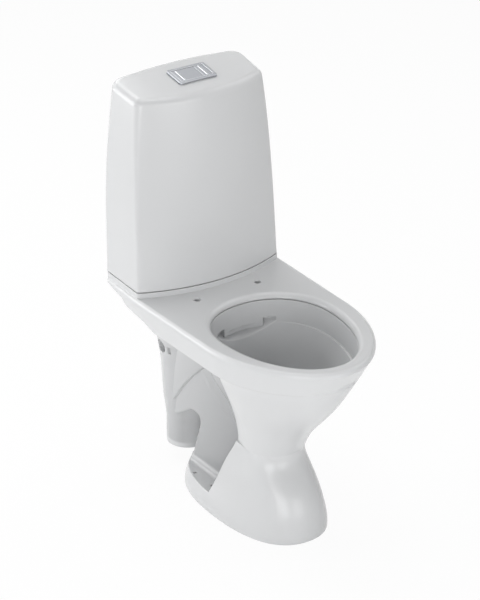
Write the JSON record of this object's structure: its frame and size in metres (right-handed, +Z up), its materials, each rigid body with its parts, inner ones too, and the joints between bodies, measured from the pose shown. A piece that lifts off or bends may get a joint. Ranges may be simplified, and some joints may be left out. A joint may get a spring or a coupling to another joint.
{
  "type": "toilet",
  "caption": "Floor-standing close-coupled toilet: open-rim pan, foot with rear outlet column, tall tank hood with dual flush buttons.",
  "frame": {"origin": "on the floor, under the middle of the whole object's box", "axes": "+Z up, the front of the bowl faces -Y, +X is the right as seen from the front"},
  "size_m": [0.374, 0.65, 0.9322],
  "materials": {
    "glaze": "gloss",
    "satin_chrome": "satin",
    "white_plastic": "semi-gloss",
    "grey_plastic": "matte",
    "tank_plastic": "satin",
    "float_plastic": "satin",
    "black_rubber": "matte",
    "spring_steel": "satin",
    "brass": "satin"
  },
  "bodies": {
    "pan_body": {"pan": "glaze", "hood_pads": "black_rubber", "sponge_gasket": "black_rubber", "inner_tank": "tank_plastic", "valve_seat": "grey_plastic", "valve_locknut": "grey_plastic", "valve_housing": "white_plastic", "rocker_pins": "spring_steel", "fill_valve_body": "white_plastic", "fill_valve_washer": "black_rubber", "fill_valve_locknut": "grey_plastic", "fill_valve_cap": "grey_plastic", "tank_bolts": "brass", "bolt_seals": "black_rubber", "bolt_washers": "spring_steel", "wing_nuts": "brass"},
    "hood_body": {"hood": "glaze", "button_bezel": "satin_chrome", "button_guide": "grey_plastic", "button_clamp": "white_plastic", "full_button_spring": "spring_steel", "half_button_spring": "spring_steel"},
    "full_button": {"full_flush_button": "satin_chrome", "full_push_rod": "white_plastic"},
    "half_button": {"half_flush_button": "satin_chrome", "half_push_rod": "white_plastic"},
    "full_lever": {"full_rocker": "float_plastic"},
    "half_lever": {"half_rocker": "float_plastic"},
    "lift_body": {"lift_tube": "grey_plastic", "valve_seal": "black_rubber", "flush_float": "float_plastic"},
    "float_body": {"float_cup": "float_plastic"}
  },
  "joints": [
    {"name": "hood_lift", "type": "slide", "parent": "pan_body", "child": "hood_body", "axis": [0, 0, 1], "range_m": [0, 0.36]},
    {"name": "full_button_press", "type": "slide", "parent": "hood_body", "child": "full_button", "axis": [0, 0, -1], "range_m": [0, 0.006], "stiffness_N_per_m": 600, "springref_m": -0.005, "deforming": ["full_button_spring"]},
    {"name": "half_button_press", "type": "slide", "parent": "hood_body", "child": "half_button", "axis": [0, 0, -1], "range_m": [0, 0.006], "stiffness_N_per_m": 600, "springref_m": -0.005, "deforming": ["half_button_spring"]},
    {"name": "full_rocker_turn", "type": "hinge", "parent": "pan_body", "child": "full_lever", "pos_m": [-0.014, 0.232, 0.782], "axis": [0, -1, 0], "range_deg": [0, 25]},
    {"name": "half_rocker_turn", "type": "hinge", "parent": "pan_body", "child": "half_lever", "pos_m": [0.0145, 0.266, 0.7775], "axis": [0, 1, 0], "range_deg": [0, 24]},
    {"name": "valve_lift", "type": "slide", "parent": "pan_body", "child": "lift_body", "axis": [0, 0, 1], "range_m": [0, 0.006]},
    {"name": "float_rise", "type": "slide", "parent": "pan_body", "child": "float_body", "axis": [0, 0, 1], "range_m": [0, 0.014]}
  ],
  "couplings": [
    {"joint": "full_rocker_turn", "follows": "full_button_press", "rad_per_m": 71.429},
    {"joint": "half_rocker_turn", "follows": "half_button_press", "rad_per_m": 68.966},
    {"joint": "valve_lift", "follows": "full_button_press", "ratio": 1}
  ]
}
